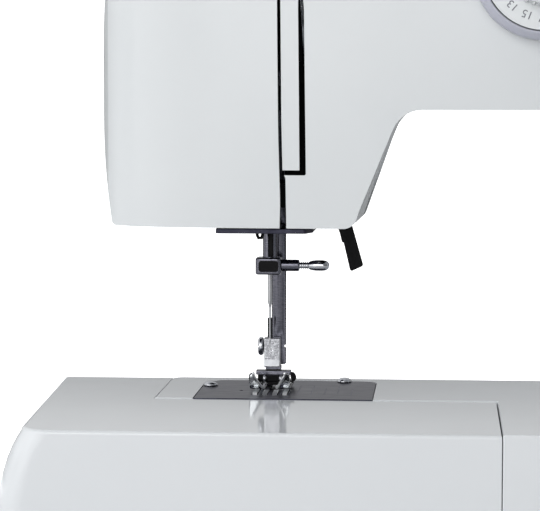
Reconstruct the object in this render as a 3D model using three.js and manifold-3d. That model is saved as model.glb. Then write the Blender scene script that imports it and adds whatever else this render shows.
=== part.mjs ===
// A domestic free-arm sewing machine, as separate named solids.
// Millimetres. While modelling, x is to the right of the needle, y is behind it and z is above the needle plate.
// The last step moves everything so that the origin is at the middle of the footprint, on the table.
import * as THREE from "three";
import { mergeVertices } from "three/addons/utils/BufferGeometryUtils.js";
import Module from "manifold-3d";

const wasm = await Module();
wasm.setup();

// Driving dimensions
const ORIGIN = new THREE.Vector3(-90, 43, 75);
const GAP = 0.3;
const SKIN = 3;
const TOP = 225;
const SEAM_Y = 12;
const BED_BACK = 39;
const BED_FRONT = -125;
const ARM_FRONT = -31;
const ARM_LEFT = -49.4;
const ARM_RIGHT = 103.3;
const ARM_FLOOR = -46;
const BED_RIGHT = 262;
const BASE_TOP = -60;
const BASE_BOTTOM = -71;
const TABLE_RIGHT = 103;
const SHAFT_Z = 168;
const LOWER_Y = 12;
const LOWER_Z = -37;
const HOOK_Z = -27;
const FEED_MID = 1.2;
const FEED_PITCH = 4.5;
const PRESSER_X = 2.8;
const PRESSER_Y = 18;
const DIAL_X = 121.6;
const DIAL_Z = 189;
const DIAL_R = 30.5;
const LENGTH_X = 205;
const PIN_Y = 22;
const WINDER_X = 205;
const WINDER_Y = -10;
const MOTOR_Y = -12;
const MOTOR_Z = 30;

const ALONG_X = new THREE.Matrix4().makeBasis(
  new THREE.Vector3(0, 1, 0),
  new THREE.Vector3(0, 0, 1),
  new THREE.Vector3(1, 0, 0),
);
const ALONG_Y = new THREE.Matrix4().makeBasis(
  new THREE.Vector3(1, 0, 0),
  new THREE.Vector3(0, 0, 1),
  new THREE.Vector3(0, -1, 0),
);

function solid(geometry) {
  const bare = geometry.clone();
  bare.deleteAttribute("normal");
  bare.deleteAttribute("uv");
  const welded = mergeVertices(bare, 1e-4);
  const from = welded.index.array;
  const kept = [];
  for (let i = 0; i < from.length; i += 3) {
    const [a, b, c] = [from[i], from[i + 1], from[i + 2]];
    if (a !== b && b !== c && c !== a) kept.push(a, b, c);
  }
  return new wasm.Manifold(new wasm.Mesh({
    numProp: 3,
    vertProperties: new Float32Array(welded.attributes.position.array),
    triVerts: new Uint32Array(kept),
  }));
}

function join(first, ...others) {
  return others.reduce((whole, one) => whole.add(one), first);
}

function cut(first, ...others) {
  return others.reduce((whole, one) => whole.subtract(one), first);
}

function extruded(points, depth) {
  const outline = new THREE.Shape(points.map(([a, b]) => new THREE.Vector2(a, b)));
  return new THREE.ExtrudeGeometry(outline, { depth, bevelEnabled: false });
}

function prismZ(points, z0, z1) {
  return solid(extruded(points, z1 - z0).translate(0, 0, z0));
}

function prismY(points, y0, y1) {
  return solid(extruded(points, y1 - y0).applyMatrix4(ALONG_Y).translate(0, y1, 0));
}

function prismX(points, x0, x1) {
  return solid(extruded(points, x1 - x0).applyMatrix4(ALONG_X).translate(x0, 0, 0));
}

function box(x0, x1, y0, y1, z0, z1) {
  const block = new THREE.BoxGeometry(x1 - x0, y1 - y0, z1 - z0);
  return solid(block.translate((x0 + x1) / 2, (y0 + y1) / 2, (z0 + z1) / 2));
}

function lathe(profile, sides) {
  return new THREE.LatheGeometry(profile.map(([r, h]) => new THREE.Vector2(r, h)), sides);
}

function turnedX(profile, y, z, sides = 16) {
  return solid(lathe(profile, sides).rotateZ(-Math.PI / 2).translate(0, y, z));
}

function turnedY(profile, x, z, sides = 16) {
  return solid(lathe(profile, sides).translate(x, 0, z));
}

function turnedZ(profile, x, y, sides = 16) {
  return solid(lathe(profile, sides).rotateX(Math.PI / 2).translate(x, y, 0));
}

function rodX(r, x0, x1, y, z, sides = 12) {
  return turnedX([[0, x0], [r, x0], [r, x1], [0, x1]], y, z, sides);
}

function rodY(r, y0, y1, x, z, sides = 12) {
  return turnedY([[0, y0], [r, y0], [r, y1], [0, y1]], x, z, sides);
}

function rodZ(r, z0, z1, x, y, sides = 12) {
  return turnedZ([[0, z0], [r, z0], [r, z1], [0, z1]], x, y, sides);
}

function inset(points, distance) {
  const inward = ([ax, ay], [bx, by]) => {
    const length = Math.hypot(bx - ax, by - ay);
    return [(ay - by) / length, (bx - ax) / length];
  };
  return points.map((point, i) => {
    const n = inward(points[(i + points.length - 1) % points.length], point);
    const m = inward(point, points[(i + 1) % points.length]);
    const reach = distance / (1 + n[0] * m[0] + n[1] * m[1]);
    return [point[0] + (n[0] + m[0]) * reach, point[1] + (n[1] + m[1]) * reach];
  });
}

function rounded(x0, x1, y0, y1, r, steps = 3) {
  const points = [];
  const corners = [[x1 - r, y0 + r, -90], [x1 - r, y1 - r, 0], [x0 + r, y1 - r, 90], [x0 + r, y0 + r, 180]];
  for (const [cx, cy, start] of corners) {
    for (let i = 0; i <= steps; i += 1) {
      const angle = THREE.MathUtils.degToRad(start + (90 * i) / steps);
      points.push([cx + r * Math.cos(angle), cy + r * Math.sin(angle)]);
    }
  }
  return points;
}

// A bar with round ends between two points of a plane.
function linkOutline([ax, ay], ra, [bx, by], rb, steps = 6) {
  const along = Math.atan2(by - ay, bx - ax);
  const lean = Math.acos((ra - rb) / Math.hypot(bx - ax, by - ay));
  const points = [];
  for (let i = 0; i <= steps; i += 1) {
    const angle = along - lean + (2 * lean * i) / steps;
    points.push([bx + rb * Math.cos(angle), by + rb * Math.sin(angle)]);
  }
  const rest = 2 * Math.PI - 2 * lean;
  for (let i = 0; i <= steps; i += 1) {
    const angle = along + lean + (rest * i) / steps;
    points.push([ax + ra * Math.cos(angle), ay + ra * Math.sin(angle)]);
  }
  return points;
}

function gearOutline(teeth, root, tip) {
  const points = [];
  for (let i = 0; i < teeth * 4; i += 1) {
    const angle = (i * Math.PI) / (teeth * 2);
    const r = i % 4 < 2 ? tip : root;
    points.push([r * Math.cos(angle), r * Math.sin(angle)]);
  }
  return points;
}

const finishes = {
  casing: new THREE.MeshStandardMaterial({ color: 0xdfe3e6, roughness: 0.3 }),
  grey: new THREE.MeshStandardMaterial({ color: 0xb4b6c3, roughness: 0.4 }),
  dark: new THREE.MeshStandardMaterial({ color: 0x1b1b1e, roughness: 0.5 }),
  slate: new THREE.MeshStandardMaterial({ color: 0x666670, metalness: 0.9, roughness: 0.35 }),
  chrome: new THREE.MeshStandardMaterial({ color: 0xc8cacc, metalness: 1, roughness: 0.15 }),
  steel: new THREE.MeshStandardMaterial({ color: 0x9a9ca0, metalness: 1, roughness: 0.3 }),
  cast: new THREE.MeshStandardMaterial({ color: 0x8d9094, metalness: 0.8, roughness: 0.6 }),
  rubber: new THREE.MeshStandardMaterial({ color: 0x151515, roughness: 0.9 }),
  clear: new THREE.MeshStandardMaterial({ color: 0xe8f0f4, roughness: 0.1 }),
};

const group = new THREE.Group();
group.name = "sewing_machine";

function add(name, body, finish) {
  const made = body.getMesh();
  const geometry = new THREE.BufferGeometry();
  geometry.setAttribute("position", new THREE.BufferAttribute(made.vertProperties, 3));
  geometry.setIndex(new THREE.BufferAttribute(made.triVerts, 1));
  geometry.translate(ORIGIN.x, ORIGIN.y, ORIGIN.z);
  geometry.computeVertexNormals();
  const mesh = new THREE.Mesh(geometry, finishes[finish]);
  mesh.name = name;
  group.add(mesh);
}

// Casing of the head, the arm and the pillar: one hollow form, split into three covers
const headSide = [
  [-72.5, 178], [-75.6, 150], [-76, 137], [-75.4, 122], [-72.8, 94], [-70.9, 80.5],
];
const caseFront = [
  [-70, 76.4], [35.5, 76.4], [39.2, 77.2], [43.5, 81.3], [57.3, 120.3], [59.2, 124.6], [63.5, 127.6],
  [70.2, 128.5], [140, 128.5], [147, 125.6], [150, 118], [150, GAP], [262, GAP], [262, 205], [258.5, 216],
  [252, 222.5], [242, TOP], [-40, TOP], [-53, 222], [-62, 214], [-68, 200], ...headSide,
];
const casePlan = [
  [-76.5, 8], [-75.8, -3], [-73, -12], [-66.5, -20.5], [-56, -27.5], [-40, -32.5], [-20, -35], [5, -36.3],
  [50, -38.4], [100, -39.7], [130, -40], [250, -40], [258.5, -36.5], [262, -28], [262, 27], [258.5, 34.5],
  [250, 37], [-55, 37], [-66, 34], [-73, 27], [-76.5, 17],
];
const caseOuter = prismY(caseFront, -45, 45).intersect(prismZ(casePlan, -5, 230));
const caseHollow = prismY(inset(caseFront, SKIN), -45, 45).intersect(prismZ(inset(casePlan, SKIN), -5, 230));
const handleFloor = box(40, 145, -18, 37, 209, 230);
const handleWell = prismZ(rounded(43, 142, -14.2, 33, 4), 213.2, 230);
const headMouth = box(-38, 33, -28, 30, 70, 84);
const pillarFoot = box(155, 257, -35, 33.6, -5, 6);
const shell = cut(
  caseOuter,
  cut(caseHollow, handleFloor),
  handleWell,
  headMouth,
  pillarFoot,
  rodX(6.5, 250, 270, 0, SHAFT_Z),
  rodX(2.4, 39, 146, -8, 219.5, 12),
);
const faceZone = [
  [-100, 60], [7.1, 60], [7.1, 76.4], [7.4, 93], [6.4, 123], [5.8, 178], [5.8, 240], [-100, 240],
];
const frontZone = [
  [10.1, -10], [300, -10], [300, 240], [7.4, 240], [7.4, 178], [8, 123], [8.4, 100.9], [9.6, 99], [10.1, 76.4],
];
const takeUpSlot = prismY(
  [[15.9, 99.8], [18.6, 99.8], [17.8, 173], [17.6, 175], [17.6, 214], [15.5, 214], [15.2, 173]], -60, -25,
);
add("face_cover", shell.intersect(prismY(faceZone, -60, SEAM_Y - GAP)), "casing");
add(
  "front_cover",
  cut(
    shell.intersect(prismY(frontZone, -60, SEAM_Y - GAP)),
    takeUpSlot,
    box(7, 18.4, -60, -25, 99.8, 102),
    rodY(4.6, -50, -30, DIAL_X, DIAL_Z),
    rodY(3.6, -50, -30, LENGTH_X, DIAL_Z),
    box(201.3, 208.7, -50, -30, 110, 138),
    box(29.4, 38.6, -30, -6, 215, 230),
    box(200.5, 215.5, -14, -6, 215, 230),
  ),
  "casing",
);
add(
  "rear_cover",
  cut(
    shell.intersect(box(-100, 300, SEAM_Y, 60, -10, 240)),
    rodZ(2.9, 200, 230, 150, PIN_Y),
    rodZ(2.9, 200, 230, 180, PIN_Y),
    box(14, 62, 19, 25, 70, 100),
  ),
  "casing",
);

// Bed: free arm and pillar base in one skin, with the needle plate let into its top
const bedPlan = [
  [ARM_LEFT, ARM_FRONT], [ARM_RIGHT, ARM_FRONT], [ARM_RIGHT, BED_FRONT], [250, BED_FRONT], [258.5, -121.5],
  [BED_RIGHT, -113], [BED_RIGHT, 31], [259.5, 36.8], [254, BED_BACK], [-45, BED_BACK], [-48.2, 37.8],
  [ARM_LEFT, 34.6],
];
const basePlan = [
  [ARM_RIGHT, BED_FRONT], [250, BED_FRONT], [258.5, -121.5], [BED_RIGHT, -113], [BED_RIGHT, 31], [259.5, 36.8],
  [254, BED_BACK], [ARM_RIGHT, BED_BACK],
];
const platePlan = [[-32, ARM_FRONT], [48, ARM_FRONT], [48, 24], [46, 28.4], [42, 30], [-24, 30], [-32, 23]];
const screwSpots = [["left", -28.3, 10], ["right", 33, 26.6]];
const screwHoles = screwSpots.map(([, x, y]) => rodZ(2.1, -10, 2, x, y, 12));
add(
  "bed_cover",
  cut(
    prismZ(bedPlan, BASE_TOP + GAP, 0),
    box(-60, ARM_RIGHT, -40, 45, -61, ARM_FLOOR),
    box(ARM_LEFT + SKIN, 110, ARM_FRONT + SKIN, 36, ARM_FLOOR + SKIN, -SKIN),
    prismZ(inset(basePlan, SKIN), -62, -SKIN),
    prismZ(inset(platePlan, -GAP), -2.3, 1),
    box(-26, 42, -26, 24, -6, 1),
    box(-30, 28, -32, -25, -43.5, -4),
    box(157, 255, -33, 33.6, -6, 1),
    box(255, 265, -70.4, -45.6, -46.4, -25.6),
    box(255, 265, -103.4, -88.6, -46.4, -23.6),
    ...screwHoles,
  ),
  "casing",
);
add(
  "base_tray",
  cut(
    join(prismZ(basePlan, BASE_BOTTOM, BASE_TOP), box(-45, 104, -27, 35, BASE_BOTTOM, -61)),
    prismZ(inset(basePlan, SKIN + 0.5), BASE_BOTTOM + SKIN, -55),
  ),
  "casing",
);

// Extension table: wraps the left end and the front of the free arm, with a storage well facing the arm
const tableRings = [[-0.4, -96.6, -91.5], [-3, -98.6, -93.5], [-14, -101, -98], [-33, -103.4, -102], [-73, -105, -104]];
function tableForm(shrink) {
  const front = BED_FRONT + shrink;
  const back = BED_BACK - shrink;
  const right = TABLE_RIGHT - shrink;
  return wasm.Manifold.hull(tableRings.flatMap(([z, leftBack, leftFront]) => {
    const near = leftFront + shrink;
    const far = leftBack + shrink;
    const plan = [
      [near, front + 22], [near + 1.6, front + 13], [near + 6, front + 6], [near + 13, front + 1.6], [near + 22, front],
      [right, front], [right, back], [far + 5, back], [far + 1.4, back - 1.6], [far, back - 5],
    ];
    return plan.map(([x, y]) => [x, y, z]);
  }));
}
add(
  "extension_table",
  cut(
    tableForm(0),
    box(ARM_LEFT - GAP, 110, ARM_FRONT - GAP, 60, -80, 5),
    cut(
      tableForm(SKIN).translate(0, 0, -SKIN),
      box(ARM_LEFT - GAP - SKIN, 110, ARM_FRONT - GAP - SKIN, 60, -80, 5),
    ),
    box(-40, 95, -36, -30, -62, -3.4),
  ),
  "casing",
);
add("shuttle_cover", join(
  box(-29.6, 27.6, ARM_FRONT, -28.6, -43, -4.6),
  box(-6, 6, -28.7, -27.6, -14, -8),
), "casing");

const feetSpots = { left_front: [-35, -18], left_rear: [-35, 26], right_front: [240, -108], right_rear: [240, 24] };
for (const [place, [x, y]] of Object.entries(feetSpots)) {
  const profile = [[0, -75], [8, -75], [9, -74], [9, BASE_BOTTOM - 0.1], [0, BASE_BOTTOM - 0.1]];
  add(`foot_${place}`, turnedZ(profile, x, y, 12), "rubber");
}

// Needle plate and feed
const feedRows = [-1.5, -0.5, 0.5, 1.5].map((step) => FEED_MID + step * FEED_PITCH);
const isOuter = (x) => Math.abs(x - FEED_MID) > FEED_PITCH;
const rowSpans = (x, near, far) => (isOuter(x) ? [[-far, far]] : [[-far, -near], [near, far]]);
const feedSlots = feedRows.flatMap((x) => rowSpans(x, 4, 19.6).map(([y0, y1]) => box(
  x - 1.4, x + 1.4, y0, y1, -3, 1,
)));
add(
  "needle_plate",
  cut(prismZ(platePlan, -2, 0), ...feedSlots, box(-3.6, 3.6, -1, 1, -3, 1), ...screwHoles),
  "slate",
);
for (const [side, x, y] of screwSpots) {
  const profile = [[0, -5], [1.6, -5], [1.6, 0.2], [3.4, 0.2], [3.1, 1.1], [0, 2]];
  add(`plate_screw_${side}`, turnedZ(profile, x, y, 12), "chrome");
}
function toothRow(y0, y1) {
  const outline = [[y0, -8], [y1, -8]];
  const count = Math.round((y1 - y0) / 3.2);
  for (let i = count; i > 0; i -= 1) {
    const back = y0 + ((y1 - y0) * i) / count;
    const front = y0 + ((y1 - y0) * (i - 1)) / count;
    outline.push([back, 0.8], [front + 0.2, -0.2]);
  }
  return outline;
}
const teeth = feedRows.flatMap((x) => rowSpans(x, 5.9, 17.8).map(([y0, y1]) => prismX(
  toothRow(y0, y1), x - 1, x + 1,
)));
add("feed_dog", cut(join(box(-7.4, 9.8, -18, 18, -9, -6), ...teeth), box(-3.2, 3.6, -3.6, 3.6, -10, -5)), "steel");
add("feed_bar", box(-6, 8, 19, 25, -13, -5), "steel");

// Shuttle, bobbin and the lower shaft
function cup(outer, inner, back, floor, mouth) {
  return [[0, floor], [inner, floor], [inner, mouth], [outer, mouth], [outer, back], [0, back]];
}
add("shuttle_race", turnedY(
  [[13.7, -14], [15.5, -14], [15.5, -2.6], [13.7, -2.6], [13.7, -14]], 0, HOOK_Z, 20,
), "steel");
add("shuttle_hook", cut(
  turnedY(cup(13.4, 11, -2.6, -4.6, -12), 0, HOOK_Z, 20),
  box(2, 9, -14, -6, HOOK_Z + 6, HOOK_Z + 16),
), "chrome");
add("bobbin_case", join(
  turnedY(cup(10.6, 9.7, -20, -18, -5.2).reverse(), 0, HOOK_Z, 20),
  rodY(1.6, -19, -8, 0, HOOK_Z, 12),
  box(-6, 6, -21.5, -19.5, HOOK_Z - 3, HOOK_Z + 3),
), "chrome");
add("bobbin", turnedY(
  [[2.2, -17], [9.2, -17], [9.2, -16], [4, -16], [4, -7], [9.2, -7], [9.2, -6], [2.2, -6], [2.2, -17]],
  0, HOOK_Z, 16,
), "clear");
add("hook_shaft", join(
  rodY(2.5, -2.2, 17, 0, HOOK_Z),
  prismY(gearOutline(8, 3.9, 5).map(([a, b]) => [a, b + HOOK_Z]), 7, 17),
), "steel");
add("lower_shaft", join(
  rodX(2.5, -9, 213, LOWER_Y, LOWER_Z),
  prismX(gearOutline(8, 3.5, 4.5).map(([a, b]) => [a + LOWER_Y, b + LOWER_Z]), -5, 5),
), "steel");

// Drive: two shafts joined by a toothed belt, and the motor belt
function belt(x0, x1, [ya, za], ra, [yb, zb], rb, thick) {
  const outer = linkOutline([ya, za], ra + thick, [yb, zb], rb + thick, 9);
  return cut(prismX(outer, x0, x1), prismX(linkOutline([ya, za], ra, [yb, zb], rb, 9), x0 - 1, x1 + 1));
}
add("upper_shaft", rodX(5, 20, 262, 0, SHAFT_Z), "steel");
add("crank_disc", cut(
  join(rodX(15, 22.4, 31, 0, SHAFT_Z, 20), rodX(2.6, 18.7, 23, 0, SHAFT_Z + 11, 12)),
  rodX(5.3, 18, 32, 0, SHAFT_Z),
  box(18, 26, -16, 16, SHAFT_Z - 16, SHAFT_Z - 6),
), "cast");
add("upper_timing_pulley", cut(
  prismX(gearOutline(12, 10, 11).map(([a, b]) => [a, b + SHAFT_Z]), 215, 226),
  rodX(5.3, 214, 227, 0, SHAFT_Z),
), "grey");
add("lower_timing_pulley", cut(
  prismX(gearOutline(12, 10, 11).map(([a, b]) => [a + LOWER_Y, b + LOWER_Z]), 215, 226),
  rodX(2.8, 227, 230, LOWER_Y, LOWER_Z),
), "grey");
add("timing_belt", belt(216.5, 224.5, [0, SHAFT_Z], 11.5, [LOWER_Y, LOWER_Z], 11.5, 1.6), "rubber");
add("drive_pulley", cut(
  turnedX([[0, 236], [24, 236], [24, 246], [0, 246]], 0, SHAFT_Z, 24),
  rodX(5.3, 235, 247, 0, SHAFT_Z),
), "grey");
add("motor", join(
  turnedX([[0, 162], [19, 162], [22, 165], [22, 202], [19, 205], [7, 206], [7, 210], [0, 210]], MOTOR_Y, MOTOR_Z),
  rodX(3, 209, 234, MOTOR_Y, MOTOR_Z, 12),
), "dark");
add("motor_pulley", rodX(6, 236, 246, MOTOR_Y, MOTOR_Z), "steel");
add("motor_belt", belt(238, 244, [0, SHAFT_Z], 24.9, [MOTOR_Y, MOTOR_Z], 6.6, 2), "rubber");
add("hand_wheel", turnedX([
  [0, 262.6], [30, 262.6], [35.4, 265], [36, 268], [36, 279], [33.5, 284], [30, 285], [26, 283.5], [24, 279],
  [13, 278], [10.5, 284.5], [0, 284.5],
], 0, SHAFT_Z, 28), "casing");

// Frame casting: spine, head block with the bar guides, bearings, pillar column, free-arm beam and deck
const guides = [84, 128].map((z) => box(-7, 10, -7, 30, z, z + 11));
add("frame_casting", cut(
  join(
    box(-12, 212, 18, 33, 140, 176),
    box(205, 253, 27.5, 33, 140, 176),
    box(-12, 22, 24, 33, 84, 150),
    ...guides,
    box(10.4, 15.2, -10, 30, 150, 162),
    rodX(2.2, 14, 18.3, -6, 156, 12),
    box(36, 44, -12, 20, 148, 184),
    box(196, 204, -12, 20, 148, 184),
    box(249.5, 253, -12, 30, 148, 184),
    box(160, 250, 27.5, 33, -57, 145),
    box(175, 195, 10.6, 29, 20, 42),
    box(-44, 170, 27.5, 35.4, -42, -6),
    box(8, 18, -1.5, 29, -42, -16),
    box(-7, 10, -1.5, 4, -42, -16),
    box(60, 68, 4, 29, -42.4, -28),
    box(112, 250, -110, 33, -59, -55),
  ),
  rodZ(3.6, 80, 145, 0, 0),
  rodZ(3.8, 80, 145, PRESSER_X, PRESSER_Y),
  rodX(5.4, 30, 260, 0, SHAFT_Z),
  rodX(2.9, -10, 70, LOWER_Y, LOWER_Z),
  rodY(2.9, -3, 8, 0, HOOK_Z),
  box(-13, 9.8, 16, 26, 139, 177),
), "cast");

// Needle bar, clamp, needle and take-up
add("needle_bar", turnedZ([[0, 54], [3.25, 54], [3.25, 144], [2.4, 146], [0, 146]], 0, 0, 20), "chrome");
add("needle_clamp", cut(
  join(prismZ(rounded(-6.3, 5.5, -6.2, 4.6, 1.6), 53.2, 60.9), rodX(3.6, 5, 13.6, -0.8, 57.2)),
  rodZ(3.55, 50, 65, 0, 0, 20),
  rodX(2, 8, 15, -0.8, 57.2, 12),
), "chrome");
add("needle_clamp_screw", turnedX(
  [[0, 8.4], [1.6, 8.4], [1.6, 18.4], [2.1, 18.8], [2.5, 20.5], [2.5, 25], [1.6, 26.8], [0, 27.2]], -0.8, 57.2, 16,
), "chrome");
add("needle", turnedZ(
  [[0, 18.6], [0.25, 19.4], [0.45, 21], [0.45, 38], [1, 39.2], [1, 53.6], [0, 53.6]], 0, 0, 12,
), "steel");
const leverArm = linkOutline([-6, 156], 4.6, [-43.5, 190], 2.8);
add("take_up_lever", cut(
  prismX(leverArm, 15.9, 17.2),
  rodX(2.6, 10, 20, -6, 156, 12),
  rodX(1.2, 10, 20, -43.5, 190, 10),
), "chrome");
add("head_base_plate", cut(
  prismZ([[-23, -20], [18.4, -20], [20.4, -14], [20.4, 24], [-23, 24]], 72.9, 75.1),
  rodZ(3.7, 70, 80, 0, 0, 20),
  rodZ(3.9, 70, 80, PRESSER_X, PRESSER_Y, 20),
), "slate");

// Presser bar, foot and lifter
add("presser_bar", turnedZ([[0, 9.5], [3.4, 9.5], [3.4, 144], [2.4, 146], [0, 146]], PRESSER_X, PRESSER_Y, 20), "chrome");
add("foot_holder", cut(
  join(
    box(-3.4, 3.9, 8, 14.2, 9.1, 22.5),
    box(-2.8, 4.4, 8.6, 13.6, 7.9, 9.5),
  ),
  rodX(1.7, -5, 1.6, 12, 18.5, 12),
), "cast");
add("foot_thumb_screw", turnedX(
  [[0, -6.4], [3.9, -6.4], [4.4, -5.8], [4.4, -4.2], [3.9, -3.7], [1.4, -3.7], [1.4, 1], [0, 1]], 12, 18.5, 20,
), "chrome");
const toeCurl = [
  [-9, 1.1], [-12.2, 1.6], [-15, 3.6], [-16.8, 6.4], [-17.6, 9.6], [-16.3, 9.8], [-15.5, 7], [-13.8, 4.7],
  [-11.5, 3.3], [-9, 3.1],
];
const toeNotch = [[-1.4, 0], [3.6, 0], [3.6, 3], [5.6, 5.4], [7.3, 8.8], [7.5, 12], [-5.6, 12], [-5.4, 8.8], [-3.6, 5.4], [-1.4, 3]];
add("presser_foot", cut(
  join(
    prismZ(rounded(-8.4, 10.1, -9.5, 14, 1.2), 1.1, 3.1),
    prismX(toeCurl, -8.4, 10.1),
    box(-7.1, 8.9, 7.6, 13.4, 2.9, 7.6),
  ),
  prismY(toeNotch, -20, 3),
), "chrome");
const lifterTail = linkOutline([29.6, 86], 4.2, [38.6, 55.8], 3.1);
add("lifter_lever", prismY(lifterTail, 20.6, 23.4), "dark");

// Lamp inside the head
add("lamp_socket", rodZ(8.5, 150, 172, -44, 4, 20), "dark");
add("lamp_bulb", turnedZ(
  [[0, 110], [5, 111.5], [8, 116], [8.6, 122], [7, 134], [6.4, 149.6], [0, 149.6]], -44, 4, 20,
), "clear");

// Dials, levers and knobs
add("pattern_dial", join(turnedY([
  [0, -51.4], [26, -51.4], [26.6, -52], [30.5, -48.6], [30.5, -40.4], [0, -40.4],
], DIAL_X, DIAL_Z, 36), rodY(4, -42, -28, DIAL_X, DIAL_Z)), "casing");
add("pattern_knob", turnedY([[0, -61], [14.4, -61], [15.6, -60], [16, -51.7], [0, -51.7]], DIAL_X, DIAL_Z, 28), "casing");
add("stitch_length_dial", join(
  turnedY([[0, -54], [17, -54], [19, -52.5], [20, -40.4], [0, -40.4]], LENGTH_X, DIAL_Z, 24),
  rodY(3, -42, -28, LENGTH_X, DIAL_Z),
), "casing");
add("reverse_lever", join(
  prismY(rounded(190, 220, 119, 139, 5), -50, -41),
  box(202, 208, -42, -30, 127, 137),
), "casing");
add("tension_dial", turnedX([[0, 30], [13.4, 30], [14.5, 31], [14.5, 37], [13.4, 38], [0, 38]], -18, 213, 24), "grey");
const handlePlan = rounded(45, 140, -12, 31.5, 4);
add("carrying_handle", join(
  cut(prismZ(handlePlan, 216, 223.4), box(53.5, 131.5, -14, 22, 214, 226)),
  rodX(2, 40.6, 47, -8, 219.5, 12),
  rodX(2, 138, 144.4, -8, 219.5, 12),
), "casing");
for (const [side, x] of [["left", 150], ["right", 180]]) {
  add(`spool_pin_${side}`, turnedZ([[0, 180], [2.4, 180], [2.4, 227], [1.6, 228.6], [0, 229]], x, PIN_Y, 12), "grey");
}
add("winder_slide", cut(box(197, 222, -17, -3, 206, 212), rodZ(3.3, 200, 215, WINDER_X, WINDER_Y, 12)), "grey");
add("winder_spindle", turnedZ([
  [0, 200], [2.9, 200], [2.9, 225.6], [7.5, 225.6], [7.5, 226.8], [2.9, 226.8], [2.9, 235.5], [1.8, 237], [0, 237],
], WINDER_X, WINDER_Y, 16), "grey");
add("winder_stop", turnedZ([[0, 225.3], [5, 225.3], [5, 231], [3.8, 232], [0, 232]], 228, WINDER_Y, 20), "grey");
add("power_inlet", join(
  cut(box(246, 262, -70, -46, -46, -26), box(250, 263, -67, -49, -43, -29)),
  rodX(1.6, 249, 254, -62, -36, 8),
  rodX(1.6, 249, 254, -54, -36, 8),
), "dark");
add("power_switch", prismY(
  [[252, -42], [259, -45], [262.6, -45.4], [261.4, -35], [264, -25], [259, -25], [252, -28]], -103, -89,
), "dark");

export default group;
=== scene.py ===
"""The looks of a free-arm sewing machine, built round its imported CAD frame.

Lengths are in millimetres until a mesh is made. x is to the right of the needle, y is behind it and z is
above the needle plate. place() turns such a point into the frame's own metres.
"""

import math

import bmesh
import bpy
from mathutils import Matrix, Vector


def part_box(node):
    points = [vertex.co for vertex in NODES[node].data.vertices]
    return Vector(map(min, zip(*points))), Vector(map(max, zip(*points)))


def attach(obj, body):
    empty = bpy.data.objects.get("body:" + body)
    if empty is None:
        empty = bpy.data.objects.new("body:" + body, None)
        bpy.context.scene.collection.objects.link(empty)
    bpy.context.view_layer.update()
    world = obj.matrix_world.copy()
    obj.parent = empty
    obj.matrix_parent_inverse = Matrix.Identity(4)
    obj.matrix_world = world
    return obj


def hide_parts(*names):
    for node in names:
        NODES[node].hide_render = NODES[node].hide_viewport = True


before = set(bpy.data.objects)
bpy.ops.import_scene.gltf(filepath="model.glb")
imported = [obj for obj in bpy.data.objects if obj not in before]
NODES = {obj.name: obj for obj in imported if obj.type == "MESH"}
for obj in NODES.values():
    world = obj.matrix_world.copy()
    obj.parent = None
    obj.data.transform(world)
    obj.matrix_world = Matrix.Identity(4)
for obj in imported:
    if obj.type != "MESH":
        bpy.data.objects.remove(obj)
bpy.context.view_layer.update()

MM = 0.001
NEEDLE_LOW, NEEDLE_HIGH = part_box("needle")
PLATE_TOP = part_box("needle_plate")[1].z
ORIGIN = Vector(
    ((NEEDLE_LOW.x + NEEDLE_HIGH.x) / 2, (NEEDLE_LOW.y + NEEDLE_HIGH.y) / 2, PLATE_TOP)
)
SKIN = 3.0  # the thickness of the moulded walls
GAP = 0.3  # the clearance between neighbouring covers


def place(x, y, z):
    return ORIGIN + Vector((x, y, z)) * MM


def node_box(node):
    """A CAD node's lowest and highest corner in millimetres from the needle."""
    low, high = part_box(node)
    return (low - ORIGIN) / MM, (high - ORIGIN) / MM


# ---------------------------------------------------------------- outlines


def fillet(corners, steps=8):
    """Rounds a polygon of (a, b, radius) corners with arcs."""
    points = []
    count = len(corners)
    for i, (a, b, radius) in enumerate(corners):
        here = Vector((a, b))
        to_last = Vector(corners[i - 1][:2]) - here
        to_next = Vector(corners[(i + 1) % count][:2]) - here
        if radius <= 0:
            points.append((a, b))
            continue
        u, v = to_last.normalized(), to_next.normalized()
        half = u.angle(v) / 2
        reach = radius / math.tan(half)
        start, end = here + u * reach, here + v * reach
        centre = here + (u + v).normalized() * (radius / math.sin(half))
        first = math.atan2(*(start - centre).yx)
        turn = math.atan2(*(end - centre).yx) - first
        turn = (turn + math.pi) % (2 * math.pi) - math.pi
        for k in range(steps + 1):
            angle = first + turn * k / steps
            points.append((centre.x + radius * math.cos(angle), centre.y + radius * math.sin(angle)))
    return points


def spline(points, steps=6, closed=True):
    """A smooth line through points, by Catmull and Rom's curve."""
    made = []
    count = len(points)
    spans = count if closed else count - 1
    for i in range(spans):
        quad = []
        for k in (i - 1, i, i + 1, i + 2):
            k = k % count if closed else min(max(k, 0), count - 1)
            quad.append(Vector(points[k]))
        p0, p1, p2, p3 = quad
        for k in range(steps):
            t = k / steps
            made.append(
                tuple(
                    0.5
                    * (
                        2 * p1
                        + (p2 - p0) * t
                        + (2 * p0 - 5 * p1 + 4 * p2 - p3) * t * t
                        + (3 * p1 - p0 - 3 * p2 + p3) * t ** 3
                    )
                )
            )
    if not closed:
        made.append(tuple(points[-1]))
    return made


def inset(points, distance):
    """A closed counterclockwise outline moved inward."""
    made = []
    count = len(points)
    for i in range(count):
        before, here, after = (Vector(points[k % count]) for k in (i - 1, i, i + 1))
        n, m = ((q - p).normalized() for p, q in ((before, here), (here, after)))
        n, m = Vector((-n.y, n.x)), Vector((-m.y, m.x))
        moved = here + (n + m) * (distance / (1 + n.dot(m)))
        made.append((moved.x, moved.y))
    return made


def rounded(x0, x1, y0, y1, radius, steps=6):
    return fillet([(x0, y0, radius), (x1, y0, radius), (x1, y1, radius), (x0, y1, radius)], steps)


# ---------------------------------------------------------------- meshes


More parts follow.
